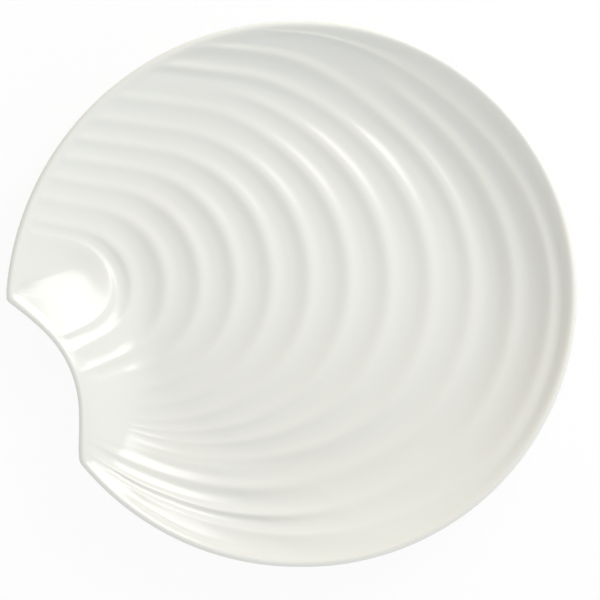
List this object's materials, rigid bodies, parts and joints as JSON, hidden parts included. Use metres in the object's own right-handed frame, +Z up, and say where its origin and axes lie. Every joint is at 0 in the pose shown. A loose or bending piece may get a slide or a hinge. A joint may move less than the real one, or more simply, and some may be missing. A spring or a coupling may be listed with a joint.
{
  "type": "shell plate",
  "caption": "Round glazed porcelain coupe plate shaped like a clam shell, with growth-ring flutes spreading from a hinge tip, a bite in the rim and a foot ring.",
  "frame": {"origin": "middle of the plate's length and width, on the table under the foot ring", "axes": "+Z up out of the well, -X towards the hinge tip, +Y towards the far rim when the hinge is at the left"},
  "size_m": [0.2716, 0.26, 0.029],
  "materials": {
    "glazed_porcelain": "clear gloss glaze over off-white porcelain",
    "bare_porcelain": "unglazed and ground smooth on its standing edge"
  },
  "bodies": {
    "root": {"plate_body": "glazed_porcelain", "foot_ring": "bare_porcelain"}
  },
  "joints": []
}
